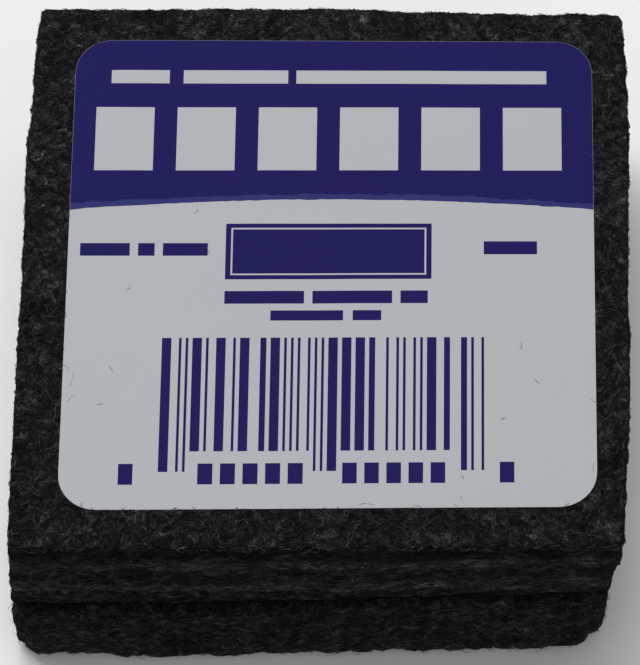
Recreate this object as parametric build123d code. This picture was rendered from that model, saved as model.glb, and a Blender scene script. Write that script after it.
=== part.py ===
from build123d import *
import os

# Felt block eraser: two felt pads laminated face to face, with a paper label on the top pad.
# Frame: origin at the centre of the underside of the whole block, +Z up towards the label,
# +X along the label's print lines, +Y towards the label's head.  Millimetres.

# ---- driving dimensions -------------------------------------------------------------
BLOCK_W = 50.8            # block width along X (2 in)
BLOCK_D = 50.8            # block depth along Y (2 in)
UPPER_T = 11.1125         # upper pad thickness (7/16 in)
LOWER_T = 11.1125         # lower pad thickness (7/16 in)

UPPER_CORNER_R = 0.8      # upright corners of the upper pad, cut nearly square
UPPER_TOP_R = 0.4         # rim of the top face, a crisp die-cut edge
LOWER_INSET = 0.3         # the lower pad stands this far inside the upper one on each side
LOWER_CORNER_R = 2.6      # upright corners of the lower pad, worn round
LOWER_EDGE_R = 1.1        # rim of the wiping face, worn round

SEAM_LIP = 0.5            # the glued seam opens outwards: 45 degree lip on each pad

LABEL_SIZE = 44.45        # square label (1 3/4 in)
LABEL_R = 3.2             # label's die-cut corners (1/8 in)
LABEL_T = 0.10            # paper and adhesive together
LABEL_X = 0.75            # the label is stuck on a little off centre ...
LABEL_Y = 0.40
LABEL_TURN = 0.3          # ... and turned a little, in degrees

# ---- heights ------------------------------------------------------------------------
Z_SEAM = LOWER_T
Z_TOP = LOWER_T + UPPER_T

os.makedirs("parts", exist_ok=True)


def block(w, d, z0, z1, corner_r):
    """Upright block between two heights, with rounded upright corners."""
    with BuildPart() as p:
        with BuildSketch(Plane.XY.offset(z0)):
            RectangleRounded(w, d, corner_r)
        extrude(amount=z1 - z0)
    return p.part


def rim(part, z):
    """Edges of the flat face at height z."""
    return part.edges().filter_by_position(Axis.Z, z - 0.01, z + 0.01)


# ---- upper pad ----------------------------------------------------------------------
upper = block(BLOCK_W, BLOCK_D, Z_SEAM, Z_TOP, UPPER_CORNER_R)
upper = fillet(rim(upper, Z_TOP), UPPER_TOP_R)
# open lip of the seam: the pad's lower rim is drawn in where the glue line starts
upper = chamfer(rim(upper, Z_SEAM), SEAM_LIP)

# ---- lower pad ----------------------------------------------------------------------
lower_w = BLOCK_W - 2 * LOWER_INSET
lower_d = BLOCK_D - 2 * LOWER_INSET
lower = block(lower_w, lower_d, 0, Z_SEAM, LOWER_CORNER_R)
lower = fillet(rim(lower, 0), LOWER_EDGE_R)
lower = chamfer(rim(lower, Z_SEAM), SEAM_LIP)

# ---- label --------------------------------------------------------------------------
with BuildPart() as label_b:
    with BuildSketch(Plane.XY.offset(Z_TOP)):
        with Locations(Location((LABEL_X, LABEL_Y, 0), (0, 0, LABEL_TURN))):
            RectangleRounded(LABEL_SIZE, LABEL_SIZE, LABEL_R)
    extrude(amount=LABEL_T)
label = label_b.part

for name, shape in (("upper_pad", upper), ("lower_pad", lower), ("label", label)):
    export_step(shape, f"parts/{name}.step")
    box = shape.bounding_box()
    print(name, round(shape.volume, 2), "mm3",
          [round(v, 3) for v in (*box.min, *box.max)])
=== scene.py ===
# Looks of the felt block eraser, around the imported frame.  Metres in Blender, millimetres in the tables below.
import math

import bpy
import numpy as np
from mathutils import Matrix, Vector


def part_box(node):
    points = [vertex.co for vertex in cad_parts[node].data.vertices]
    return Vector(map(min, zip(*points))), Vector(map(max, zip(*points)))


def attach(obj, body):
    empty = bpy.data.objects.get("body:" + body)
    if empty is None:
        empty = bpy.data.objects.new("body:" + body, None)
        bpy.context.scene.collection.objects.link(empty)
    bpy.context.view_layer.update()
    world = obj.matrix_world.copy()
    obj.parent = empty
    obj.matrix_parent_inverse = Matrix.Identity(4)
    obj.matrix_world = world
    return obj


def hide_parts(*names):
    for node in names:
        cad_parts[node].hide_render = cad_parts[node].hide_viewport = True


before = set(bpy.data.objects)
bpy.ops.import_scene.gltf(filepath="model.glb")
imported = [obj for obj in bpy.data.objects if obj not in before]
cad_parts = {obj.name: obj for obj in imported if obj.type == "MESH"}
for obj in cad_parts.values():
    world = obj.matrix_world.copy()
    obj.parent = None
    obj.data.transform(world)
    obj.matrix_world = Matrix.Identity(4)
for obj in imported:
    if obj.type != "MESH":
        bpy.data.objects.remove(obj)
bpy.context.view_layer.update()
MM = 0.001
rng = np.random.default_rng(20)

up_lo, up_hi = (np.array(p, float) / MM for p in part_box("upper_pad"))
lo_lo, lo_hi = (np.array(p, float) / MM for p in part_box("lower_pad"))
la_lo, la_hi = (np.array(p, float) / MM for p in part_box("label"))
HALF = (up_hi[0] - up_lo[0]) / 2          # 25.4
Z_TOP = up_hi[2]                          # 22.225
Z_SEAM = lo_hi[2]                         # 11.11
LAB_C = (la_lo[:2] + la_hi[:2]) / 2
LAB_Z0, LAB_Z1 = la_lo[2], la_hi[2]
LAB_HALF = 22.225                         # half the label's side before its small turn


# ------------------------------------------------------------------ noise
class Noise:
    """Smooth lattice noise in three dimensions, about -1 to 1, the same on every run."""

    def __init__(self, seed, n=32):
        self.n = n
        self.g = np.random.default_rng(seed).uniform(-1, 1, (n, n, n))

    def __call__(self, p, scale):
        q = np.asarray(p, float) * scale + 100.37
        i = np.floor(q).astype(int)
        f = q - i
        f = f * f * (3 - 2 * f)
        a, b = i % self.n, (i + 1) % self.n
        g = self.g
        x0, y0, z0, x1, y1, z1 = a[..., 0], a[..., 1], a[..., 2], b[..., 0], b[..., 1], b[..., 2]
        fx, fy, fz = f[..., 0], f[..., 1], f[..., 2]
        c00 = g[x0, y0, z0] * (1 - fx) + g[x1, y0, z0] * fx
        c10 = g[x0, y1, z0] * (1 - fx) + g[x1, y1, z0] * fx
        c01 = g[x0, y0, z1] * (1 - fx) + g[x1, y0, z1] * fx
        c11 = g[x0, y1, z1] * (1 - fx) + g[x1, y1, z1] * fx
        return (c00 * (1 - fy) + c10 * fy) * (1 - fz) + (c01 * (1 - fy) + c11 * fy) * fz


N1, N2, N3, N4, N5 = (Noise(s) for s in (1, 2, 3, 4, 5))


def smooth(e0, e1, x):
    t = np.clip((x - e0) / (e1 - e0), 0, 1)
    return t * t * (3 - 2 * t)


def table(x, pairs):
    xs, ys = zip(*pairs)
    return np.interp(x, xs, ys)


# ------------------------------------------------------------------ form of the pads
LEFT_TOP = ((-25.4, -0.13), (-16, -0.05), (-9, -0.04), (-4, 0.10), (0, 0.13), (7, 0.08), (9, 0.0), (11, 0.0), (14, 0.30), (18, 0.40), (21, 0.40), (25.4, 0.82))
RIGHT_TOP = ((-25.4, -0.36), (-20, -0.06), (-11, 0.50), (-7, 0.40), (-3.5, 0.38), (0, 0.46), (7, 0.55), (10, 0.72), (15, 0.70), (20, 0.56), (22, 0.45), (25.4, 0.20))
REAR_TOP = ((-25.4, 0.40), (-15, 0.42), (0, 0.56), (3.6, 0.52), (5.4, 0.22), (7.1, 0.14), (8.9, 0.42), (10.6, 0.28), (13, 0.15), (16, 0.13), (17.6, -0.08), (19.3, 0.06), (21, 0.22), (25.4, 0.0))
FRONT_TOP = ((-25.4, -0.14), (0, 0.0), (11, 0.14), (25.4, 0.42))
LEAN_LEFT = ((0, -0.90), (6.5, -0.80), (11.5, -0.42), (15.7, -0.26), (18, -0.14), (22.3, 0.0))
LEAN_RIGHT = ((0, -0.74), (7.3, -0.66), (10.8, -0.70), (13.3, -0.72), (14.9, -0.62), (16.6, -0.46), (18.2, -0.16), (22.3, 0.0))
LOW_FRONT = ((-25.4, -0.80), (-17, -0.85), (-10, -0.80), (0, -0.62), (10, -0.20), (20, 0.05), (25.4, -0.10))


def seam_height(x, y):
    p = np.stack([x, y, np.zeros_like(x)], -1)
    return Z_SEAM + 0.036 * x + 0.26 * N4(p, 0.13) + 0.10 * N5(p, 0.45)


def plan_round(p, half, r):
    """Square corners of a plan carried onto round ones; r may differ from point to point."""
    x, y = p[..., 0], p[..., 1]
    qx, qy = np.abs(x) - (half - r), np.abs(y) - (half - r)
    m = (qx > 0) & (qy > 0)
    big = np.maximum(qx, qy)
    length = np.sqrt(qx * qx + qy * qy) + 1e-9
    k = np.where(m, big / length, 1.0)
    out = p.copy()
    out[..., 0] = np.where(m, np.sign(x) * (half - r + qx * k), x)
    out[..., 1] = np.where(m, np.sign(y) * (half - r + qy * k), y)
    return out


def rim_round(p, lo, hi, r):
    """Box surface with all its edges rounded by r, and the outward direction at each point."""
    core = np.clip(p, lo + r, hi - r)
    d = p - core
    n = np.linalg.norm(d, axis=-1, keepdims=True)
    d = d / np.maximum(n, 1e-9)
    return core + d * r, d


def bend_outline(p):
    """Carries the nominal square block onto the real block, which was cut a little out of true."""
    x, y, z = p[..., 0], p[..., 1], p[..., 2]
    u, v = x / HALF, y / HALF
    near = 0.45 + 0.55 * smooth(10, -22, y)
    dl = table(y, LEFT_TOP) + table(z, LEAN_LEFT) * near
    dr = table(y, RIGHT_TOP) + table(z, LEAN_RIGHT) * near
    low = smooth(12.5, 9.5, z)
    df = table(x, FRONT_TOP) * (1 - low) + table(x, LOW_FRONT) * low
    db = table(x, REAR_TOP) * (1 - 0.5 * low)
    out = p.copy()
    out[..., 0] = x + dl * (1 - u) / 2 + dr * (1 + u) / 2
    out[..., 1] = y + df * (1 - v) / 2 + db * (1 + v) / 2
    return out


def upper_surface(p):
    """p on the nominal box of the upper pad, to the finished felt surface."""
    lo = np.array([-HALF, -HALF, Z_SEAM])
    hi = np.array([HALF, HALF, Z_TOP])
    q, d = rim_round(p, lo, hi, 0.34)
    q = plan_round(q, HALF, 0.34)
    side = smooth(0.25, 0.75, np.abs(d[..., :2]).max(-1))
    top = smooth(0.3, 0.8, d[..., 2])
    bottom = smooth(0.3, 0.8, -d[..., 2])
    q = bend_outline(q)
    z0 = q[..., 2].copy()
    # the pad's own thickness runs out a little because the seam is not level
    seam = seam_height(q[..., 0], q[..., 1])
    k = (z0 - Z_SEAM) / (Z_TOP - Z_SEAM)
    q[..., 2] = seam + k * (Z_TOP - seam)
    h = q[..., 2] - seam
    run = np.stack([q[..., 0], q[..., 1], q[..., 2]], -1)
    flat = run * np.array([0.16, 0.16, 1.0])
    # layers of the pressed felt: fine level ridges that fade in and out along the side
    warp = 0.5 * N1(run, 0.09) + 0.25 * N2(run, 0.35)
    zz = q[..., 2] + warp
    fade = 0.55 + 0.45 * N5(run * np.array([1, 1, 0.2]), 0.16)
    ridge = fade * (0.10 * np.exp(-((zz - 18.5) / 0.45) ** 2) + 0.12 * np.exp(-((zz - 14.4) / 0.5) ** 2)
                    - 0.10 * np.exp(-((zz - 16.3) / 0.7) ** 2) - 0.08 * np.exp(-((zz - 20.4) / 0.9) ** 2)
                    - 0.08 * np.exp(-((zz - 12.9) / 0.35) ** 2))
    stria = 0.05 * N3(flat, 2.6) + 0.035 * N4(flat, 5.2)
    lump = 0.09 * N2(run, 0.26) + 0.08 * N5(run, 0.85) + 0.10 * N1(run, 1.6) + 0.09 * N3(run, 2.6)
    pits = -0.16 * smooth(0.45, 0.8, N4(run, 1.15)) * smooth(-0.1, 0.5, N1(run, 0.4))
    lip = -0.62 * np.exp(-(np.maximum(h, 0) / 0.50) ** 2) * (1 + 0.35 * N3(run, 0.5))
    sideways = (ridge + stria + 0.75 * lump + pits * 0.6) * side + lip * (1 - top)
    out2 = d[..., :2] / np.maximum(np.linalg.norm(d[..., :2], axis=-1, keepdims=True), 1e-6)
    # corners take the displacement of the face they belong to
    q[..., :2] += out2 * sideways[..., None]
    under = label_cover(q[..., 0], q[..., 1])
    bump = 0.05 * N5(run, 0.5) + 0.04 * N1(run, 1.25) + 0.04 * N3(run, 2.7) + 0.035 * N2(run, 4.4)
    bump += -0.10 * smooth(0.5, 0.85, N4(run, 1.3))
    q[..., 2] += top * (bump * (1 - under) + (-0.16) * under)
    q[..., 2] = np.where(bottom > 0.5, np.maximum(q[..., 2], seam + 0.01), q[..., 2])
    return q


def lower_surface(p):
    """p on the nominal box of the lower pad, to the finished felt surface."""
    half = lo_hi[0]
    lo = np.array([-half, -half, 0.0])
    hi = np.array([half, half, Z_SEAM])
    x, y = p[..., 0], p[..., 1]
    worn = 0.95 + 0.25 * smooth(8, 24, x) * smooth(0, -20, y) + 0.75 * smooth(19, 24.5, np.abs(x)) * smooth(-18, -24.5, y) + 0.25 * N1(np.stack([x, y, 0 * x], -1), 0.12)
    r = np.where(p[..., 2] < Z_SEAM / 2, worn, 0.4)[..., None]
    q, d = rim_round(p, lo, hi, r)
    corner = 1.85 + 0.75 * smooth(0, 20, x) * smooth(0, -20, y) + 0.2 * smooth(0, 20, x)
    q = plan_round(q, half, corner)
    side = smooth(0.25, 0.75, np.abs(d[..., :2]).max(-1))
    top = smooth(0.3, 0.8, d[..., 2])
    bottom = smooth(0.35, 0.85, -d[..., 2])
    q = bend_outline(q)
    z0 = q[..., 2].copy()
    seam = seam_height(q[..., 0], q[..., 1])
    q[..., 2] = z0 / Z_SEAM * seam
    h = seam - q[..., 2]
    run = q.copy()
    lump = (0.13 * N1(run, 0.28) + 0.10 * N2(run, 0.62) + 0.13 * N3(run, 1.3) + 0.12 * N4(run, 2.2)
            + 0.07 * N5(run, 3.4))
    pits = -0.30 * smooth(0.35, 0.75, N5(run, 1.2))
    lip = -0.66 * np.exp(-(np.maximum(h, 0) / 0.50) ** 2) * (1 + 0.35 * N2(run, 0.5))
    belly = 0.10 * np.sin(np.clip(z0 / Z_SEAM, 0, 1) * math.pi)
    sideways = (lump + pits + belly) * side + lip * (1 - smooth(0.3, 0.8, -d[..., 2]))
    out2 = d[..., :2] / np.maximum(np.linalg.norm(d[..., :2], axis=-1, keepdims=True), 1e-6)
    q[..., :2] += out2 * sideways[..., None]
    # underside: brushed and a little hollow between its highest tufts, which carry the block
    nap = 0.05 + 0.07 * N2(run, 0.7) + 0.06 * N3(run, 1.7) + 0.05 * N4(run, 3.1)
    q[..., 2] += bottom * np.clip(nap, 0.0, None) + (1 - bottom) * side * smooth(2.2, 0.4, z0) * 0.16 * (0.5 + N5(run, 0.55))
    q[..., 2] = np.maximum(q[..., 2], 0.0)
    q[..., 2] = np.where(top > 0.5, np.minimum(q[..., 2], seam - 0.01), q[..., 2])
    return q


def label_cover(x, y):
    """1 under the label, 0 outside it, with a narrow change at its edge."""
    qx, qy = np.abs(x - LAB_C[0]), np.abs(y - LAB_C[1])
    r = 3.2
    ax, ay = np.maximum(qx - (LAB_HALF - r), 0), np.maximum(qy - (LAB_HALF - r), 0)
    dist = np.sqrt(ax * ax + ay * ay) - r
    dist = np.where((ax == 0) & (ay == 0), -9, dist)
    return smooth(0.05, -0.35, dist)


def lattice(xs, ys, zs):
    """Closed box surface over three lists of grid lines: points and quads."""
    nx, ny, nz = len(xs) - 1, len(ys) - 1, len(zs) - 1
    ids = np.full((nx + 1, ny + 1, nz + 1), -1, np.int64)
    i, j, k = np.meshgrid(np.arange(nx + 1), np.arange(ny + 1), np.arange(nz + 1), indexing="ij")
    on = (i == 0) | (i == nx) | (j == 0) | (j == ny) | (k == 0) | (k == nz)
    ids[on] = np.arange(on.sum())
    pts = np.stack([np.asarray(xs)[i[on]], np.asarray(ys)[j[on]], np.asarray(zs)[k[on]]], -1)

    def quads(a, flip):
        q = np.stack([a[:-1, :-1], a[1:, :-1], a[1:, 1:], a[:-1, 1:]], -1).reshape(-1, 4)
        return q[:, ::-1] if flip else q

    faces = np.concatenate([
        quads(ids[:, :, nz], False), quads(ids[:, :, 0], True),
        quads(ids[:, 0, :], False), quads(ids[:, ny, :], True),
        quads(ids[0, :, :], True), quads(ids[nx, :, :], False)])
    return pts, faces


def make_mesh(name, pts, faces, smooth_shade=True, slots=None):
    """pts in millimetres; faces an (n, k) array or a list of such arrays."""
    groups = faces if isinstance(faces, list) else [faces]
    me = bpy.data.meshes.new(name)
    counts = np.concatenate([np.full(len(g), g.shape[1], np.int32) for g in groups])
    loops = np.concatenate([g.ravel() for g in groups]).astype(np.int32)
    me.vertices.add(len(pts))
    me.vertices.foreach_set("co", (np.asarray(pts, np.float64) * MM).astype(np.float32).ravel())
    me.loops.add(len(loops))
    me.loops.foreach_set("vertex_index", loops)
    me.polygons.add(len(counts))
    starts = np.concatenate([[0], np.cumsum(counts)[:-1]]).astype(np.int32)
    me.polygons.foreach_set("loop_start", starts)
    me.polygons.foreach_set("loop_total", counts)
    if slots is not None:
        me.polygons.foreach_set("material_index", np.asarray(slots, np.int32))
    me.polygons.foreach_set("use_smooth", np.full(len(counts), smooth_shade))
    me.update(calc_edges=True)
    me.validate()
    ob = bpy.data.objects.new(name, me)
    bpy.context.scene.collection.objects.link(ob)
    return ob


# ------------------------------------------------------------------ node helpers
def new_mat(name):
    m = bpy.data.materials.new(name)
    m.use_nodes = True
    nt = m.node_tree
    nt.nodes.clear()
    out = nt.nodes.new("ShaderNodeOutputMaterial")
    bsdf = nt.nodes.new("ShaderNodeBsdfPrincipled")
    nt.links.new(bsdf.outputs[0], out.inputs[0])
    return m, nt, bsdf


def node(nt, kind, **props):
    n = nt.nodes.new(kind)
    for k, v in props.items():
        setattr(n, k, v)
    return n


def math_node(nt, op, a, b=None, c=None, clamp=False):
    n = node(nt, "ShaderNodeMath", operation=op, use_clamp=clamp)
    for i, v in enumerate((a, b, c)):
        if v is None:
            continue
        if hasattr(v, "links") or hasattr(v, "is_linked"):
            nt.links.new(v, n.inputs[i])
        else:
            n.inputs[i].default_value = v
    return n.outputs[0]


def ramp(nt, fac, stops, interp="LINEAR"):
    n = node(nt, "ShaderNodeValToRGB")
    n.color_ramp.interpolation = interp
    els = n.color_ramp.elements
    while len(els) < len(stops):
        els.new(0.5)
    for e, (pos, col) in zip(els, stops):
        e.position = pos
        e.color = (*col, 1) if len(col) == 3 else col
    nt.links.new(fac, n.inputs[0])
    return n.outputs[0]


def noise_node(nt, vec, scale, detail=2.0, rough=0.5, dist=0.0):
    n = node(nt, "ShaderNodeTexNoise")
    n.inputs["Scale"].default_value = scale
    n.inputs["Detail"].default_value = detail
    n.inputs["Roughness"].default_value = rough
    n.inputs["Distortion"].default_value = dist
    nt.links.new(vec, n.inputs["Vector"])
    return n.outputs[0]


def mapping(nt, vec, scale=(1, 1, 1), rot=(0, 0, 0), loc=(0, 0, 0)):
    n = node(nt, "ShaderNodeMapping")
    n.inputs["Scale"].default_value = scale
    n.inputs["Rotation"].default_value = rot
    n.inputs["Location"].default_value = loc
    nt.links.new(vec, n.inputs["Vector"])
    return n.outputs[0]


def mix_rgb(nt, fac, a, b, blend="MIX"):
    n = node(nt, "ShaderNodeMix", data_type="RGBA", blend_type=blend)
    for s, v in ((n.inputs[0], fac), (n.inputs[6], a), (n.inputs[7], b)):
        if hasattr(v, "is_linked"):
            nt.links.new(v, s)
        else:
            s.default_value = v if not isinstance(v, tuple) or len(v) == 4 else (*v, 1)
    return n.outputs[2]


def grey(v, t=(1.0, 1.0, 1.0)):
    return (v * t[0], v * t[1], v * t[2])


WARM = (0.965, 1.0, 1.02)


def fibre_layer(nt, vec, freq, length, width, spread, centre_angle, curl, low, high, power, seed):
    """One scatter of short curved strands, at most one to a cell: how light each point is, 0 where there is none."""
    v = mapping(nt, vec, (freq, freq, freq), (0, 0, 0.7 * seed if spread > 3 else 0.0), (3.1 * seed, 1.7 * seed, 0))
    vor = node(nt, "ShaderNodeTexVoronoi", voronoi_dimensions="2D", feature="F1")
    vor.inputs["Scale"].default_value = 1.0
    nt.links.new(v, vor.inputs["Vector"])
    loc = node(nt, "ShaderNodeVectorMath", operation="SUBTRACT")
    nt.links.new(v, loc.inputs[0])
    nt.links.new(vor.outputs["Position"], loc.inputs[1])
    rnd = node(nt, "ShaderNodeSeparateColor")
    nt.links.new(vor.outputs["Color"], rnd.inputs[0])
    rot = node(nt, "ShaderNodeVectorRotate", rotation_type="Z_AXIS")
    nt.links.new(loc.outputs[0], rot.inputs["Vector"])
    nt.links.new(math_node(nt, "ADD", math_node(nt, "MULTIPLY", math_node(nt, "SUBTRACT", rnd.outputs[0], 0.5), spread), centre_angle), rot.inputs["Angle"])
    sep = node(nt, "ShaderNodeSeparateXYZ")
    nt.links.new(rot.outputs[0], sep.inputs[0])
    along, across = sep.outputs[0], sep.outputs[1]
    bend = math_node(nt, "MULTIPLY", math_node(nt, "MULTIPLY", math_node(nt, "SUBTRACT", rnd.outputs[2], 0.5), curl), math_node(nt, "MULTIPLY", along, along))
    off = math_node(nt, "ABSOLUTE", math_node(nt, "ADD", across, bend))
    thin = math_node(nt, "SUBTRACT", 1.0, math_node(nt, "DIVIDE", off, width * freq), clamp=True)
    inside = math_node(nt, "MULTIPLY", math_node(nt, "SUBTRACT", length * freq * 0.5, math_node(nt, "ABSOLUTE", along)), 5.0, clamp=True)
    tone = math_node(nt, "ADD", math_node(nt, "MULTIPLY", math_node(nt, "POWER", rnd.outputs[1], power), high - low), low)
    return math_node(nt, "MULTIPLY", math_node(nt, "MULTIPLY", thin, inside), tone)


def felt_material(name, stops, layers, warp=0.16, patchy=0.5, profile=None, bump_mm=0.09, clump=(1.25, 1.25), nap=0.0):
    """Charcoal melange felt: light and dark wool carded together, under a mat of short curved strands.

    stops carry the wool's noise to albedo, layers are the scatters of strands, and profile is a list of
    (height, gain) up the side of the pad, which the map named felt carries in its second coordinate.
    """
    m, nt, bsdf = new_mat(name)
    uv = node(nt, "ShaderNodeUVMap", uv_map="felt")
    vec0 = uv.outputs[0]                       # millimetres
    wn = node(nt, "ShaderNodeTexNoise")
    wn.inputs["Scale"].default_value = 0.9
    wn.inputs["Detail"].default_value = 3.0
    nt.links.new(vec0, wn.inputs["Vector"])
    wc = node(nt, "ShaderNodeVectorMath", operation="SUBTRACT")
    nt.links.new(wn.outputs[1], wc.inputs[0])
    wc.inputs[1].default_value = (0.5, 0.5, 0.5)
    ws = node(nt, "ShaderNodeVectorMath", operation="SCALE")
    nt.links.new(wc.outputs[0], ws.inputs[0])
    ws.inputs[3].default_value = warp * 4
    wa = node(nt, "ShaderNodeVectorMath", operation="ADD")
    nt.links.new(vec0, wa.inputs[0])
    nt.links.new(ws.outputs[0], wa.inputs[1])
    vec = wa.outputs[0]
    wool = noise_node(nt, mapping(nt, vec, (clump[0], clump[1], 1.0)), 1.0, 6, 0.70, 0.7)
    speck = noise_node(nt, vec0, 4.6, 3, 0.65)
    mixed = math_node(nt, "ADD", math_node(nt, "MULTIPLY", wool, 0.66), math_node(nt, "MULTIPLY", speck, 0.34))
    tone = math_node(nt, "ADD", ramp(nt, mixed, [(p, grey(v)) for p, v in stops]), 0.0)
    lit = ramp(nt, wool, ((0.40, grey(0.12)), (0.60, grey(1.0))))
    for k, ly in enumerate(layers):
        tone = math_node(nt, "MAXIMUM", tone, math_node(nt, "MULTIPLY", fibre_layer(nt, vec, *ly, k + 1), lit))
    # matted areas, where the wool is darker and closer, between livelier ones
    live = noise_node(nt, mapping(nt, vec0, (0.42, 0.42, 1), (0, 0, 0.5), (17, 5, 0)), 1.0, 3, 0.55, 0.5)
    live = math_node(nt, "ADD", ramp(nt, live, ((0.40, grey(0.0)), (0.50, grey(0.55)), (0.60, grey(1.0)))), 0.0)
    flat = math_node(nt, "ADD", math_node(nt, "MULTIPLY", mixed, stops[3][1] * 1.3), -stops[3][1] * 0.26)
    lively = math_node(nt, "MULTIPLY", tone, 1.42)
    tone = math_node(nt, "ADD", math_node(nt, "MULTIPLY", lively, math_node(nt, "ADD", math_node(nt, "MULTIPLY", live, 0.75), 0.25)),
                     math_node(nt, "MULTIPLY", flat, math_node(nt, "MULTIPLY", math_node(nt, "SUBTRACT", 1.0, live), 0.75)))
    patch = noise_node(nt, vec0, 0.30, 3, 0.6)
    shade = math_node(nt, "ADD", math_node(nt, "MULTIPLY", math_node(nt, "SUBTRACT", patch, 0.5), patchy * 2), 1.0)
    if nap:
        # the top is made a little darker toward the front
        run = node(nt, "ShaderNodeSeparateXYZ")
        nt.links.new(vec0, run.inputs[0])
        away = math_node(nt, "DIVIDE", math_node(nt, "SUBTRACT", run.outputs[1], 200.0 - HALF), 2 * HALF, clamp=True)
        shade = math_node(nt, "MULTIPLY", shade, math_node(nt, "ADD", math_node(nt, "MULTIPLY", away, nap), 1.0 - nap))
    # the gain up the side; on the lower pad it is painted light near the floor and painted shade under the seam
    if profile is not None:
        sep = node(nt, "ShaderNodeSeparateXYZ")
        nt.links.new(vec0, sep.inputs[0])
        drift = noise_node(nt, mapping(nt, vec0, (0.12, 0.06, 1)), 1.0, 3, 0.6)
        fray = math_node(nt, "MULTIPLY", math_node(nt, "SUBTRACT", wool, 0.5), 1.6)
        hgt = math_node(nt, "ADD", sep.outputs[1], math_node(nt, "MULTIPLY", math_node(nt, "SUBTRACT", drift, 0.5), 2.2))
        hgt = math_node(nt, "DIVIDE", math_node(nt, "ADD", hgt, fray), 24.0)
        top = max(v for _, v in profile)
        gain = ramp(nt, hgt, [(p / 24.0, grey(v / top)) for p, v in profile])
        shade = math_node(nt, "MULTIPLY", shade, math_node(nt, "MULTIPLY", math_node(nt, "ADD", gain, 0.0), top))
    tone = math_node(nt, "MULTIPLY", tone, shade)
    # the wools are not quite the same grey
    hue = node(nt, "ShaderNodeTexNoise")
    hue.inputs["Scale"].default_value = 1.6
    hue.inputs["Detail"].default_value = 2.0
    nt.links.new(vec, hue.inputs["Vector"])
    hs = node(nt, "ShaderNodeSeparateColor")
    nt.links.new(hue.outputs[1], hs.inputs[0])
    comb = node(nt, "ShaderNodeCombineColor")
    for i, t in enumerate(WARM):
        tint = math_node(nt, "ADD", math_node(nt, "MULTIPLY", math_node(nt, "SUBTRACT", hs.outputs[i], 0.5), 0.28), t)
        nt.links.new(math_node(nt, "MULTIPLY", tone, tint), comb.inputs[i])
    nt.links.new(comb.outputs[0], bsdf.inputs["Base Color"])
    rough = math_node(nt, "ADD", math_node(nt, "MULTIPLY", speck, 0.12), 0.86)
    nt.links.new(rough, bsdf.inputs["Roughness"])
    bsdf.inputs["Specular IOR Level"].default_value = 0.012
    hgt = math_node(nt, "ADD", math_node(nt, "MULTIPLY", mixed, 1.6), math_node(nt, "MULTIPLY", tone, 9.0, clamp=True))
    bump = node(nt, "ShaderNodeBump")
    bump.inputs["Strength"].default_value = 0.9
    bump.inputs["Distance"].default_value = bump_mm * MM
    nt.links.new(hgt, bump.inputs["Height"])
    nt.links.new(bump.outputs[0], bsdf.inputs["Normal"])
    return m


def fibre_material(name, stops):
    """Shade runs across the map named shade, so each fibre has its own grey, with slow change along it."""
    m, nt, bsdf = new_mat(name)
    uv = node(nt, "ShaderNodeUVMap", uv_map="shade")
    sep = node(nt, "ShaderNodeSeparateXYZ")
    nt.links.new(uv.outputs[0], sep.inputs[0])
    col = ramp(nt, sep.outputs[0], [(p, grey(v, WARM)) for p, v in stops])
    along = noise_node(nt, uv.outputs[0], 7.0, 2, 0.5)
    gain = math_node(nt, "ADD", math_node(nt, "MULTIPLY", along, 0.9), 0.55)
    comb = node(nt, "ShaderNodeCombineColor")
    for i in range(3):
        nt.links.new(gain, comb.inputs[i])
    nt.links.new(mix_rgb(nt, 1.0, col, comb.outputs[0], "MULTIPLY"), bsdf.inputs["Base Color"])
    bsdf.inputs["Roughness"].default_value = 0.7
    bsdf.inputs["Specular IOR Level"].default_value = 0.05
    return m


# ------------------------------------------------------------------ pads
def steps(edges, counts):
    out = [edges[0]]
    for a, b, n in zip(edges[:-1], edges[1:], counts):
        out += list(np.linspace(a, b, n + 1)[1:])
    return np.array(out)


def felt_map(ob, nominal, faces):
    """Map named felt, in millimetres, laid on each face of the nominal block, and the face's slot: 0 level, 1 upright."""
    me = ob.data
    P = nominal[faces]                                  # faces, 4, 3
    n = np.cross(P[:, 1] - P[:, 0], P[:, 3] - P[:, 0])
    ax = np.abs(n).argmax(1)
    sg = np.sign(n[np.arange(len(n)), ax])
    u = np.where((ax == 2)[:, None], P[..., 0], np.where((ax == 1)[:, None], P[..., 0] * sg[:, None] + 61.0 * (sg[:, None] + 2), P[..., 1] * sg[:, None] + 61.0 * (sg[:, None] + 6)))
    v = np.where((ax == 2)[:, None], P[..., 1] + 80 + 60 * (sg[:, None] + 1), P[..., 2])
    layer = me.uv_layers.new(name="felt", do_init=False)
    layer.uv.foreach_set("vector", np.stack([u, v], -1).astype(np.float32).ravel())
    me.polygons.foreach_set("material_index", (ax != 2).astype(np.int32))


def build_pads():
    side_u = steps([-HALF, -20.8, 20.8, HALF], [24, 88, 24])
    zs_u = np.linspace(Z_SEAM, Z_TOP, 47)
    p, q = lattice(side_u, side_u, zs_u)
    upper = make_mesh("upper_pad_felt", upper_surface(p), q)
    felt_map(upper, p, q)
    half = lo_hi[0]
    side_l = np.linspace(-half, half, 143)
    zs_l = np.linspace(0, Z_SEAM, 39)
    p, q = lattice(side_l, side_l, zs_l)
    lower = make_mesh("lower_pad_felt", lower_surface(p), q)
    felt_map(lower, p, q)
    return upper, lower


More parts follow.
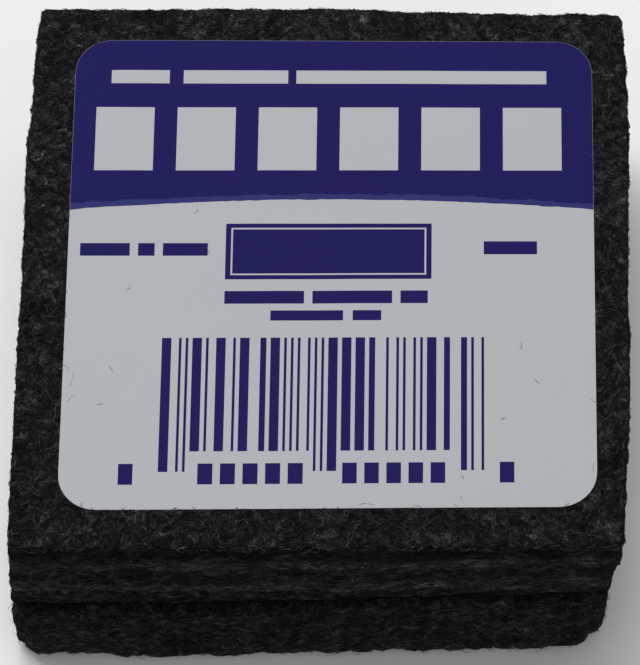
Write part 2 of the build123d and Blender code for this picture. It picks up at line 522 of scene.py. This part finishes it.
# ------------------------------------------------------------------ fibres
def fibres(name, surface, centres, axis_a, axis_b, length, radius, shade, lift, turn, curl, segs=4, stand=None):
    """Closed three-sided strands that follow a felt surface.

    centres are points on the nominal box face spanned by axis_a and axis_b; turn is each strand's direction on it,
    curl its bend, lift its height over the felt at the middle, and stand how far its end rises out of it.
    """
    n = len(centres)
    t = np.linspace(-0.5, 0.5, segs + 1)[None, :]
    ca, sa = np.cos(turn)[:, None], np.sin(turn)[:, None]
    L = length[:, None]
    wob = rng.uniform(0, 6.28, n)[:, None]
    wam = rng.uniform(0.02, 0.09, n)[:, None]
    along = L * t
    across = curl[:, None] * L * (t * t - 0.08) + wam * L * np.sin(6.5 * t + wob)
    da, db = along * ca - across * sa, along * sa + across * ca
    P = centres[:, None, :] + da[..., None] * axis_a[:, None, :] + db[..., None] * axis_b[:, None, :]
    nrm = np.cross(axis_a, axis_b)
    S = surface(P)
    e = 0.12
    Sa = surface(P + e * axis_a[:, None, :])
    Sb = surface(P + e * axis_b[:, None, :])
    N = np.cross(Sa - S, Sb - S)
    N /= np.maximum(np.linalg.norm(N, axis=-1, keepdims=True), 1e-9)
    N = 0.65 * N + 0.35 * nrm[:, None, :]
    N /= np.maximum(np.linalg.norm(N, axis=-1, keepdims=True), 1e-9)
    tt = 2 * t
    hump = lift[:, None] * (1 - tt * tt) - 0.06 * tt * tt + 0.035 * np.sin(9 * t + wob * 1.7)
    if stand is not None:
        hump = hump + stand[:, None] * np.clip(t + 0.5, 0, 1) ** 1.6 - 0.03
    C = S + N * hump[..., None]
    T = np.gradient(C, axis=1)
    T /= np.maximum(np.linalg.norm(T, axis=-1, keepdims=True), 1e-9)
    B = np.cross(N, T)
    B /= np.maximum(np.linalg.norm(B, axis=-1, keepdims=True), 1e-9)
    U = np.cross(T, B)
    taper = 1 - 0.55 * np.abs(tt) ** 3
    R = radius[:, None] * taper
    rings = []
    for a in (math.pi / 2, math.pi * 7 / 6, math.pi * 11 / 6):
        rings.append(C + R[..., None] * (math.cos(a) * B + math.sin(a) * U))
    V = np.stack(rings, 2)                      # n, segs+1, 3, 3
    V[..., 2] = np.maximum(V[..., 2], 0.0)      # nothing goes below the surface the block lies on
    base = (np.arange(n) * (segs + 1) * 3)[:, None, None]
    s = np.arange(segs)[None, :, None]
    j = np.arange(3)[None, None, :]
    k = (j + 1) % 3
    a0, a1 = base + s * 3 + j, base + s * 3 + k
    quads = np.stack([a0, a1, a1 + 3, a0 + 3], -1).reshape(-1, 4)
    b0 = base[:, 0, 0]
    cap0 = np.stack([b0 + 2, b0 + 1, b0], -1)
    cap1 = np.stack([b0 + segs * 3, b0 + segs * 3 + 1, b0 + segs * 3 + 2], -1)
    ob = make_mesh(name, V.reshape(-1, 3), [quads, np.concatenate([cap0, cap1])])
    me = ob.data
    vi = np.empty(len(me.loops), np.int32)
    me.loops.foreach_get("vertex_index", vi)
    who, rest = vi // ((segs + 1) * 3), vi % ((segs + 1) * 3)
    ring, side = rest // 3, rest % 3
    u = 0.02 + 0.96 * shade[who] + (side - 1) * 0.006
    v = 0.03 + 0.94 * ring / segs + (side - 1) * 0.004
    uvs = np.stack([np.clip(u, 0.001, 0.999), np.clip(v, 0.001, 0.999)], -1).astype(np.float32)
    for nm in ("shade", "OFBake"):
        layer = me.uv_layers.new(name=nm, do_init=False)
        layer.uv.foreach_set("vector", uvs.ravel())
    return ob


def shades(n, light_share, mid_share):
    """0 dark, 0.5 mid, 1 light."""
    s = rng.uniform(0.02, 0.30, n)
    k = rng.random(n)
    mid = k < mid_share + light_share
    s[mid] = rng.uniform(0.32, 0.66, mid.sum())
    li = k < light_share
    s[li] = rng.uniform(0.70, 0.98, li.sum())
    return s


def axes(n, a, b):
    return np.tile(np.array(a, float), (n, 1)), np.tile(np.array(b, float), (n, 1))


def side_points(n, half, z0, z1, margin=0.2):
    """Random points on the four upright faces, with each face's two directions."""
    f = rng.integers(0, 4, n)
    s = rng.uniform(-half + margin, half - margin, n)
    z = rng.uniform(z0, z1, n)
    P = np.zeros((n, 3))
    A = np.zeros((n, 3))
    for k, (fx, fy, ax) in enumerate(((0, -1, (1, 0, 0)), (1, 0, (0, 1, 0)), (0, 1, (-1, 0, 0)), (-1, 0, (0, -1, 0)))):
        m = f == k
        P[m] = np.stack([s[m] * ax[0] + fx * half, s[m] * ax[1] + fy * half, z[m]], -1)
        A[m] = ax
    B = np.tile(np.array([0, 0, 1.0]), (n, 1))
    return P, A, B


def build_fibres():
    made = []
    # top face: a belt round the label
    n = 6600
    x = rng.uniform(-HALF + 0.1, HALF - 0.1, n * 6)
    y = rng.uniform(-HALF + 0.1, HALF - 0.1, n * 6)
    keep = label_cover(x, y) < 0.02
    x, y = x[keep][:n], y[keep][:n]
    n = len(x)
    P = np.stack([x, y, np.full(n, Z_TOP)], -1)
    A, B = axes(n, (1, 0, 0), (0, 1, 0))
    made.append(fibres("top_fibres", upper_surface, P, A, B,
                       rng.gamma(3.0, 0.34, n).clip(0.4, 3.6), rng.uniform(0.012, 0.032, n), shades(n, 0.12, 0.42),
                       rng.uniform(-0.02, 0.10, n), rng.uniform(0, math.pi, n), rng.normal(0, 0.55, n)))
    # upper sides: mostly level fibres
    n = 5200
    P, A, B = side_points(n, HALF, Z_SEAM + 0.5, Z_TOP - 0.1)
    made.append(fibres("upper_side_fibres", upper_surface, P, A, B,
                       rng.gamma(3.0, 0.45, n).clip(0.4, 4.0), rng.uniform(0.010, 0.022, n), shades(n, 0.12, 0.40),
                       rng.uniform(-0.02, 0.08, n), rng.normal(0, 0.28, n), rng.normal(0, 0.3, n)))
    # lower sides: open, fuzzy, every direction, some ends standing out
    n = 5600
    P, A, B = side_points(n, lo_hi[0], 0.15, Z_SEAM - 0.4)
    made.append(fibres("lower_side_fibres", lower_surface, P, A, B,
                       rng.gamma(3.0, 0.40, n).clip(0.4, 3.2), rng.uniform(0.010, 0.024, n), shades(n, 0.14, 0.45),
                       rng.uniform(-0.02, 0.12, n), rng.uniform(0, math.pi * 2, n), rng.normal(0, 0.7, n),
                       stand=np.where(rng.random(n) < 0.35, rng.uniform(0.05, 0.5, n), 0)))
    # underside
    n = 4600
    P = np.stack([rng.uniform(-24, 24, n), rng.uniform(-24, 24, n), np.zeros(n)], -1)
    A, B = axes(n, (0, 1, 0), (1, 0, 0))
    made.append(fibres("underside_fibres", lower_surface, P, A, B,
                       rng.gamma(3.0, 0.45, n).clip(0.4, 3.6), rng.uniform(0.010, 0.024, n), shades(n, 0.14, 0.45),
                       rng.uniform(-0.02, 0.05, n), rng.uniform(0, math.pi, n), rng.normal(0, 0.6, n)))
    # lighter ends along the top edges, whose light grey is a painted highlight, and along the bottom edge, whose light
    # grey is painted light from the floor
    n = 1500
    P, A, B = side_points(n, HALF, Z_TOP - 0.8, Z_TOP - 0.02, 0.05)
    made.append(fibres("top_edge_fringe_painted_highlight", upper_surface, P, A, B,
                       rng.gamma(3.0, 0.20, n).clip(0.25, 1.8), rng.uniform(0.012, 0.034, n), shades(n, 0.42, 0.35),
                       rng.uniform(-0.01, 0.10, n), rng.normal(0, 0.45, n), rng.normal(0, 0.5, n)))
    n = 1100
    P, A, B = side_points(n, HALF, 12.0, 20.0)
    P[:, 2] = np.where(rng.random(n) < 0.5, 18.5, 14.3) + rng.normal(0, 0.22, n)
    made.append(fibres("layer_line_fibres", upper_surface, P, A, B,
                       rng.gamma(3.0, 0.22, n).clip(0.25, 1.8), rng.uniform(0.012, 0.032, n), shades(n, 0.35, 0.4),
                       rng.uniform(-0.01, 0.10, n), rng.normal(0, 0.35, n), rng.normal(0, 0.5, n)))
    # the bottom edge's light ends: painted light from the bright floor
    n = 1100
    P, A, B = side_points(n, lo_hi[0], 0.15, 1.3)
    made.append(fibres("bottom_edge_fringe_painted_light", lower_surface, P, A, B,
                       rng.gamma(3.0, 0.22, n).clip(0.25, 1.8), rng.uniform(0.012, 0.030, n), shades(n, 0.5, 0.35),
                       rng.uniform(-0.01, 0.08, n), rng.uniform(0, math.pi, n), rng.normal(0, 0.6, n)))
    # a few loose hairs over the label, most of them by its edge: x, y, length, turn, curl, shade
    rows = []
    for k in range(24):
        t = rng.uniform(-21.5, 21.5)
        e = 22.2 - abs(rng.normal(0, 0.5))
        x, y = ((t, e), (t, -e), (-e, t), (e, t))[k % 4]
        rows.append((x + LAB_C[0], y + LAB_C[1], rng.uniform(0.5, 1.9), rng.uniform(0, math.pi), rng.normal(0, 0.5), rng.uniform(0.0, 0.35)))
    for x, y, ln, tn, cu, sh in ((-17.6, -9.2, 1.5, 2.2, 1.1, 0.75), (-18.4, -12.6, 1.3, 0.5, -1.2, 0.78), (-9.6, 1.9, 1.1, 1.9, 0.9, 0.72),
                                 (-10.7, 6.0, 1.2, 1.2, 1.2, 0.75), (16.6, -7.0, 1.6, 1.3, 0.9, 0.74), (18.1, -10.2, 1.2, 2.4, -0.8, 0.80),
                                 (-16.2, -1.5, 0.9, 0.9, 0.8, 0.8), (11.8, -18.9, 1.0, 2.0, 0.7, 0.8), (15.2, -13.6, 1.1, 0.3, 0.9, 0.82)):
        rows.append((x, y, ln, tn, cu, sh))
    R = np.array(rows)
    n = len(R)
    P = np.stack([R[:, 0], R[:, 1], np.full(n, LAB_Z1)], -1)
    A, B = axes(n, (1, 0, 0), (0, 1, 0))
    made.append(fibres("stray_hairs", label_surface, P, A, B, R[:, 2], np.where(R[:, 5] > 0.5, 0.030, 0.014), R[:, 5],
                       np.full(n, 0.03), R[:, 3], R[:, 4], segs=8))
    return made


# ------------------------------------------------------------------ label
# Print, in millimetres from the label's centre.  Plain blocks stand where lines of words were.
def print_layout():
    """Plain bars and blocks, white on the dark field and navy on the pale one, about the label's own middle."""
    white, navy = [], []
    # small head line, in word lengths
    for a, b in ((-19.1, -14.1), (-12.9, -3.9), (-3.2, 18.3)):
        white.append((a, b, 17.95, 19.25))
    # head line: six plain blocks
    w, gap = 5.0, 1.97
    x = -20.3
    for _ in range(6):
        white.append((x, x + w, 9.45, 15.6))
        x += w + gap
    # lines beside and under the plain block
    navy += [(-21.2, -17.0, 1.25, 2.45), (-16.3, -14.9, 1.25, 2.45), (-14.2, -10.4, 1.25, 2.45)]
    navy.append((12.9, 17.4, 1.35, 2.6))
    navy.append((-8.9, 8.5, -1.0, 4.3))
    for r in ((-8.45, 8.05, 3.75, 3.9), (-8.45, 8.05, -0.6, -0.45), (-8.45, -8.3, -0.45, 3.75), (7.9, 8.05, -0.45, 3.75)):
        white.append(r)
    navy += [(-8.9, -2.2, -3.3, -2.1), (-1.5, 5.2, -3.3, -2.1), (5.9, 8.2, -3.3, -2.1)]
    navy += [(-5.0, 1.1, -4.9, -3.95), (1.9, 4.3, -4.9, -3.95)]
    # a made-up bar pattern, which stands for no number
    r = np.random.default_rng(77)
    mod = 27.0 / 95
    x = -14.05
    end = x + 27.0
    while x < end - mod * 0.5:
        bar = mod * r.choice([1, 2, 3, 4], p=[0.42, 0.33, 0.18, 0.07])
        space = mod * r.choice([1, 2, 3], p=[0.5, 0.33, 0.17])
        bar = min(bar, end - x)
        long = x + bar < -11.1 or x > 10.2 or (x > -1.6 and x + bar < 0.8)
        navy.append((x + 0.03, x + bar - 0.03, -18.85 if long else -17.0, -6.5))
        x += bar + space
    # small plain blocks under it
    for a, b, n in ((-10.75, -2.05, 5), (1.2, 9.7, 5)):
        w = (b - a - 0.62 * (n - 1)) / n
        for k in range(n):
            navy.append((a + k * (w + 0.62), a + k * (w + 0.62) + w, -20.0, -18.1))
    navy += [(-17.3, -16.1, -20.0, -18.1), (14.2, 15.4, -20.0, -18.1)]
    return white, navy


BAND_Y = 6.62          # where the navy field ends, at the middle
STRIP = 0.52           # its paler, slightly ragged lower edge


def build_label():
    white, navy = print_layout()
    h = LAB_HALF
    cut = 0.012                               # bare paper left along the die-cut edge
    xs, ys = {-h, -h + cut, h - cut, h}, {-h, -h + cut, h - cut, h, BAND_Y, BAND_Y + STRIP}
    for a, b, c, d in white + navy:
        xs |= {round(a, 4), round(b, 4)}
        ys |= {round(c, 4), round(d, 4)}

    def fill(vals, gap):
        vals = sorted(vals)
        out = [vals[0]]
        for v in vals[1:]:
            k = max(1, math.ceil((v - out[-1]) / gap))
            out += list(np.linspace(out[-1], v, k + 1)[1:])
        return np.array(out)

    gap = 0.62
    xs, ys = fill(xs, gap), fill(ys, gap)
    nx, ny = len(xs) - 1, len(ys) - 1
    X, Y = np.meshgrid(xs, ys, indexing="ij")
    # arch of the navy field's lower edge, and a torn look to its pale strip
    arch = -0.00195 * (X - 0.0) ** 2
    w = np.where(Y >= BAND_Y + STRIP, smooth(9.4, BAND_Y + STRIP, Y), smooth(4.8, BAND_Y, Y))
    Yw = Y + arch * w
    P3 = np.stack([X, Y, np.zeros_like(X)], -1)
    ragged = np.isclose(Y, BAND_Y + STRIP)
    Yw = Yw + np.where(ragged, 0.16 * N1(P3, 1.1) + 0.10 * N2(P3, 3.0), 0)
    edge = np.isclose(Y, BAND_Y)
    Yw = Yw + np.where(edge, 0.05 * N3(P3, 1.6), 0)
    P = np.stack([X, Yw, np.zeros_like(X)], -1)
    P = plan_round(P, h, 3.2)
    # stuck on with a small turn
    c, s = math.cos(math.radians(0.3)), math.sin(math.radians(0.3))
    px, py = P[..., 0] * c - P[..., 1] * s, P[..., 0] * s + P[..., 1] * c
    # a soft, very slightly uneven bed
    u, v = px / h, py / h
    tl, tr, br, bl = (1 - u) * (1 + v) / 4, (1 + u) * (1 + v) / 4, (1 + u) * (1 - v) / 4, (1 - u) * (1 - v) / 4
    px = px + 0.20 * tl + 0.20 * tr - 0.20 * br - 0.20 * bl
    py = py + 0.02 * tl - 0.14 * tr + 0.12 * br - 0.27 * bl
    wave = label_wave(px, py)
    border = np.minimum(h - np.abs(P[..., 0]), h - np.abs(P[..., 1]))
    curl = -0.03 * smooth(0.5, 0.0, border)
    top = LAB_Z1 + wave + curl
    T = np.stack([px + LAB_C[0], py + LAB_C[1], top], -1)
    ids = np.arange((nx + 1) * (ny + 1)).reshape(nx + 1, ny + 1)
    quads = np.stack([ids[:-1, :-1], ids[1:, :-1], ids[1:, 1:], ids[:-1, 1:]], -1).reshape(-1, 4)
    xm, ym = (xs[:-1] + xs[1:]) / 2, (ys[:-1] + ys[1:]) / 2
    XM, YM = np.meshgrid(xm, ym, indexing="ij")
    slot = np.zeros_like(XM, int)
    slot[YM > BAND_Y + STRIP] = 1
    slot[(YM > BAND_Y) & (YM < BAND_Y + STRIP)] = 2
    for a, b, c0, d0 in navy:
        slot[(XM > a) & (XM < b) & (YM > c0) & (YM < d0)] = 1
    for a, b, c0, d0 in white:
        slot[(XM > a) & (XM < b) & (YM > c0) & (YM < d0)] = 0
    slot[(np.abs(XM) > h - cut) | (np.abs(YM) > h - cut)] = 0
    # boundary loop, edge wall and back
    loop = np.concatenate([ids[:-1, 0], ids[-1, :-1], ids[::-1, -1][:-1], ids[0, ::-1][:-1]])
    tv = T.reshape(-1, 3)
    n0 = len(tv)
    back = tv[loop].copy()
    back[:, 2] -= LAB_Z1 - LAB_Z0 - 0.01
    m = len(loop)
    r = np.arange(m)
    wall = np.stack([loop[r], n0 + r, n0 + (r + 1) % m, loop[(r + 1) % m]], -1)
    cap = (n0 + r)[::-1][None, :]
    pts = np.concatenate([tv, back])
    slots = np.concatenate([slot.ravel(), np.zeros(m, int), np.zeros(1, int)])
    ob = make_mesh("label_sheet", pts, [quads, wall, cap], True, slots)
    me = ob.data
    ev = np.empty(len(me.edges) * 2, np.int32)
    me.edges.foreach_get("vertices", ev)
    ev = ev.reshape(-1, 2)
    on_loop = np.zeros(len(me.vertices), bool)
    on_loop[loop] = True
    nxt = dict(zip(loop.tolist(), np.roll(loop, -1).tolist()))
    sharp = np.array([(on_loop[a] and on_loop[b] and (nxt.get(a) == b or nxt.get(b) == a)) or (a >= n0 and b >= n0) for a, b in ev.tolist()])
    att = me.attributes.get("sharp_edge") or me.attributes.new("sharp_edge", "BOOLEAN", "EDGE")
    att.data.foreach_set("value", sharp)
    # map for the printed side: straight down onto the sheet
    co = np.empty(len(me.vertices) * 3, np.float32)
    me.vertices.foreach_get("co", co)
    co = co.reshape(-1, 3) / MM
    vi = np.empty(len(me.loops), np.int32)
    me.loops.foreach_get("vertex_index", vi)
    uv = 0.5 + (co[vi][:, :2] - LAB_C) / (2 * (h + 1.2))
    # the thin edge and the back park in the strip outside the printed square
    tot = np.empty(len(me.polygons), np.int32)
    me.polygons.foreach_get("loop_total", tot)
    layer = me.uv_layers.new(name="OFBake", do_init=False)
    first = len(quads) * 4
    ang = np.arctan2(co[vi][:, 1] - LAB_C[1], co[vi][:, 0] - LAB_C[0])
    low = vi >= n0
    rim = uv.copy()
    cx = uv - 0.5
    k = 0.488 / np.maximum(np.abs(cx).max(1), 1e-6)
    rim = np.where(low[:, None], 0.5 + cx * (k[:, None]), uv)
    uv[first:first + m * 4] = rim[first:first + m * 4]
    uv[first + m * 4:] = 0.5 + (uv[first + m * 4:] - 0.5) * 0.02 + np.array([0.0, -0.487])
    layer.uv.foreach_set("vector", uv.astype(np.float32).ravel())
    return ob


def label_wave(x, y):
    g = np.stack([x, y, np.zeros_like(x)], -1)
    return 0.035 * N1(g, 0.11) + 0.018 * N2(g, 0.33) + 0.006 * N3(g, 0.9) + dents(x, y)


def label_surface(p):
    q = p.copy()
    q[..., 2] = LAB_Z1 + label_wave(p[..., 0] - LAB_C[0], p[..., 1] - LAB_C[1]) + (p[..., 2] - LAB_Z1)
    return q


def dents(x, y):
    """Faint crescents and pocks pressed into the paper."""
    d = np.zeros_like(x)
    for cx, cy, rad, a0, a1, depth in (
            (-17.5, -10.5, 1.3, -1.9, 1.3, 0.05), (18.4, -6.2, 1.0, 1.2, 3.4, 0.035), (-19.8, -14.0, 0.9, 0.2, 2.0, 0.03),
            (-7.0, 14.0, 1.6, 2.0, 4.2, 0.02), (15.5, -15.5, 1.2, -0.6, 1.2, 0.02)):
        r = np.hypot(x - cx, y - cy)
        a = np.arctan2(y - cy, x - cx)
        span = smooth(a0 - 0.3, a0 + 0.3, a) * smooth(a1 + 0.3, a1 - 0.3, a)
        d = d - depth * np.exp(-((r - rad) / 0.28) ** 2) * span
    return d


def paper_material(name, col, mottle, rough):
    m, nt, bsdf = new_mat(name)
    tc = node(nt, "ShaderNodeTexCoord")
    vec = tc.outputs["Object"]
    cloud = noise_node(nt, vec, 60, 3, 0.5)
    grain = noise_node(nt, vec, 2600, 2, 0.5)
    g = math_node(nt, "ADD", math_node(nt, "MULTIPLY", math_node(nt, "SUBTRACT", cloud, 0.5), mottle),
                  math_node(nt, "MULTIPLY", math_node(nt, "SUBTRACT", grain, 0.5), mottle * 0.5))
    g = math_node(nt, "ADD", g, 1.0)
    comb = node(nt, "ShaderNodeCombineColor")
    for i in range(3):
        nt.links.new(g, comb.inputs[i])
    nt.links.new(mix_rgb(nt, 1.0, (*col, 1), comb.outputs[0], "MULTIPLY"), bsdf.inputs["Base Color"])
    r = math_node(nt, "ADD", math_node(nt, "MULTIPLY", grain, 0.12), rough)
    nt.links.new(r, bsdf.inputs["Roughness"])
    bsdf.inputs["Specular IOR Level"].default_value = 0.06
    bump = node(nt, "ShaderNodeBump")
    bump.inputs["Strength"].default_value = 0.12
    bump.inputs["Distance"].default_value = 0.00003
    nt.links.new(grain, bump.inputs["Height"])
    nt.links.new(bump.outputs[0], bsdf.inputs["Normal"])
    return m


# ------------------------------------------------------------------ camera, floor and light
def camera():
    az, el, roll = (math.radians(v) for v in (1.5, 63.081, -0.996))
    dist, focal, aim = 409.919, 4731.562, np.array([-0.248, 0.542, 10.0])
    back = np.array([math.sin(az) * math.cos(el), -math.cos(az) * math.cos(el), math.sin(el)])
    pos = aim + back * dist
    x = np.cross(-back, [0, 0, 1.0])
    x /= np.linalg.norm(x)
    y = np.cross(x, -back)
    xr = math.cos(roll) * x + math.sin(roll) * y
    yr = -math.sin(roll) * x + math.cos(roll) * y
    M = Matrix.Identity(4)
    for i in range(3):
        M[i][0], M[i][1], M[i][2], M[i][3] = xr[i], yr[i], back[i], pos[i] * MM
    cam = bpy.data.cameras.new("camera")
    cam.sensor_width = 36
    cam.lens = focal / 665 * 36
    cam.clip_start, cam.clip_end = 0.01, 20
    ob = bpy.data.objects.new("camera", cam)
    ob.matrix_world = M
    bpy.context.scene.collection.objects.link(ob)
    bpy.context.scene.camera = ob


def light(name, pos, aim, size, watts, colour=(1, 1, 1)):
    l = bpy.data.lights.new(name, "AREA")
    l.shape = "RECTANGLE"
    l.size, l.size_y = size
    l.energy = watts
    l.color = colour
    ob = bpy.data.objects.new(name, l)
    ob.location = pos
    ob.rotation_euler = (Vector(aim) - Vector(pos)).to_track_quat("-Z", "Y").to_euler()
    bpy.context.scene.collection.objects.link(ob)


def stage():
    s = 1.5
    pts = np.array([[-s, -s, 0], [s, -s, 0], [s, s, 0], [-s, s, 0]]) / MM
    floor = make_mesh("floor", pts, np.array([[0, 1, 2, 3]]), False)
    floor.location.z = -0.00002
    m, nt, bsdf = new_mat("floor")
    tc = node(nt, "ShaderNodeTexCoord")
    n = noise_node(nt, tc.outputs["Object"], 6, 2, 0.5)
    nt.links.new(ramp(nt, n, ((0.3, grey(0.93)), (0.7, grey(0.96)))), bsdf.inputs["Base Color"])
    bsdf.inputs["Roughness"].default_value = 0.9
    bsdf.inputs["Specular IOR Level"].default_value = 0.1
    floor.data.materials.append(m)
    w = bpy.data.worlds.new("studio")
    bpy.context.scene.world = w
    w.use_nodes = True
    bg = w.node_tree.nodes["Background"]
    bg.inputs[0].default_value = (1.0, 1.0, 1.0, 1)
    bg.inputs[1].default_value = 0.36
    light("key", (-0.18, 0.30, 0.75), (0, 0, 0.01), (0.55, 0.45), 4.6)
    light("fill", (0.35, -0.45, 0.55), (0, 0, 0.01), (0.6, 0.6), 0.35)
    sc = bpy.context.scene
    sc.view_settings.view_transform = "Standard"
    sc.view_settings.look = "None"
    sc.view_settings.exposure = 0.0


camera()
stage()
upper, lower = build_pads()
#            cells/mm  length  width  spread angle curl  low    high   power
MAT_TOP = ((0.95, 1.3, 0.045, 3.2, 0.0, 1.6, 0.012, 0.11, 2.2),
           (1.15, 1.1, 0.040, 3.2, 0.0, 1.6, 0.012, 0.12, 2.4),
           (0.60, 2.2, 0.045, 3.2, 0.0, 1.0, 0.012, 0.16, 3.0),
           (1.60, 0.8, 0.035, 3.2, 0.0, 1.6, 0.010, 0.09, 1.8),
           (2.20, 0.6, 0.035, 3.2, 0.0, 1.6, 0.010, 0.07, 1.5),
           (2.80, 0.5, 0.030, 3.2, 0.0, 1.6, 0.008, 0.06, 1.3))
# the side and lower scatters run to darker greys than the top's: painted shade on the upright sides and the underside
MAT_SIDE = ((0.80, 1.6, 0.040, 1.2, 0.0, 0.7, 0.008, 0.07, 2.0),
            (1.20, 1.0, 0.040, 1.6, 0.0, 0.9, 0.008, 0.06, 1.8),
            (1.70, 0.8, 0.035, 2.2, 0.0, 1.0, 0.006, 0.05, 1.6),
            (2.40, 0.5, 0.030, 3.2, 0.0, 1.2, 0.006, 0.04, 1.3))
MAT_LOW = ((0.85, 1.4, 0.045, 3.2, 0.0, 1.6, 0.008, 0.075, 2.2),
           (1.20, 1.0, 0.040, 3.2, 0.0, 1.6, 0.008, 0.07, 2.0),
           (1.70, 0.8, 0.035, 3.2, 0.0, 1.6, 0.006, 0.055, 1.6),
           (2.40, 0.6, 0.035, 3.2, 0.0, 1.6, 0.006, 0.045, 1.3))
WOOL_TOP = ((0.40, 0.0038), (0.45, 0.0058), (0.495, 0.0100), (0.535, 0.023), (0.575, 0.050), (0.62, 0.095), (0.68, 0.15))
# the side and lower wools are the top's wool made darker: painted shade on the upright sides and the underside
WOOL_SIDE_PAINTED_SHADE = ((0.40, 0.0036), (0.45, 0.0058), (0.495, 0.0105), (0.535, 0.020), (0.575, 0.034), (0.62, 0.052), (0.68, 0.07))
WOOL_LOW_PAINTED_SHADE = ((0.40, 0.0034), (0.45, 0.0054), (0.495, 0.0100), (0.535, 0.021), (0.575, 0.036), (0.62, 0.055), (0.68, 0.08))
UP_PROFILE = ((10.6, 0.50), (11.8, 0.72), (13.2, 0.72), (13.9, 1.6), (14.6, 1.7), (15.2, 0.95), (16.2, 0.62), (17.6, 0.9), (18.2, 1.6),
              (18.8, 1.6), (19.4, 0.70), (20.4, 0.48), (21.8, 0.55), (22.3, 0.8))
# up the lower pad's side: painted light near the floor and painted shade under the seam's lip
LOW_SIDE_PAINTED_LIGHT_AND_SHADE = ((0.0, 3.2), (0.9, 2.5), (1.9, 1.3), (4.0, 1.05), (8.5, 0.92), (10.2, 0.65), (11.4, 0.45))
upper.data.materials.append(felt_material("felt_top", WOOL_TOP, MAT_TOP, patchy=0.8, nap=0.22))
upper.data.materials.append(felt_material("felt_upper_side", WOOL_SIDE_PAINTED_SHADE, MAT_SIDE, 0.16, 0.7, UP_PROFILE, clump=(0.95, 1.45)))
lower.data.materials.append(felt_material("felt_under", WOOL_LOW_PAINTED_SHADE, MAT_LOW, bump_mm=0.12))
lower.data.materials.append(felt_material("felt_lower_side", WOOL_LOW_PAINTED_SHADE, MAT_LOW, 0.16, 0.8, LOW_SIDE_PAINTED_LIGHT_AND_SHADE, 0.12, (1.1, 1.6)))
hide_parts("upper_pad"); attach(upper, "root")
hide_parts("lower_pad"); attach(lower, "root")

fm_top = fibre_material("fibre_top", ((0.0, 0.005), (0.3, 0.011), (0.5, 0.026), (0.7, 0.055), (1.0, 0.13)))
# the side fibres' greys are the top fibres' made darker: painted shade on the sides and the underside
fm_side_painted_shade = fibre_material("fibre_side_painted_shade", ((0.0, 0.004), (0.3, 0.008), (0.5, 0.018), (0.7, 0.036), (1.0, 0.085)))
fm_stray = fibre_material("fibre_stray", ((0.0, 0.04), (0.4, 0.16), (0.7, 0.30), (1.0, 0.42)))
for ob in build_fibres():
    ob.data.materials.append({"top_fibres": fm_top, "top_edge_fringe_painted_highlight": fm_top, "layer_line_fibres": fm_top, "bottom_edge_fringe_painted_light": fm_top, "stray_hairs": fm_stray}.get(ob.name, fm_side_painted_shade))
    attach(ob, "root")

label = build_label()
label.data.materials.append(paper_material("paper_white", (0.455, 0.468, 0.490), 0.03, 0.50))
label.data.materials.append(paper_material("ink_navy", (0.0116, 0.0098, 0.100), 0.16, 0.55))
label.data.materials.append(paper_material("ink_pale_navy", (0.032, 0.034, 0.160), 0.5, 0.55))
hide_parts("label"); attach(label, "root")
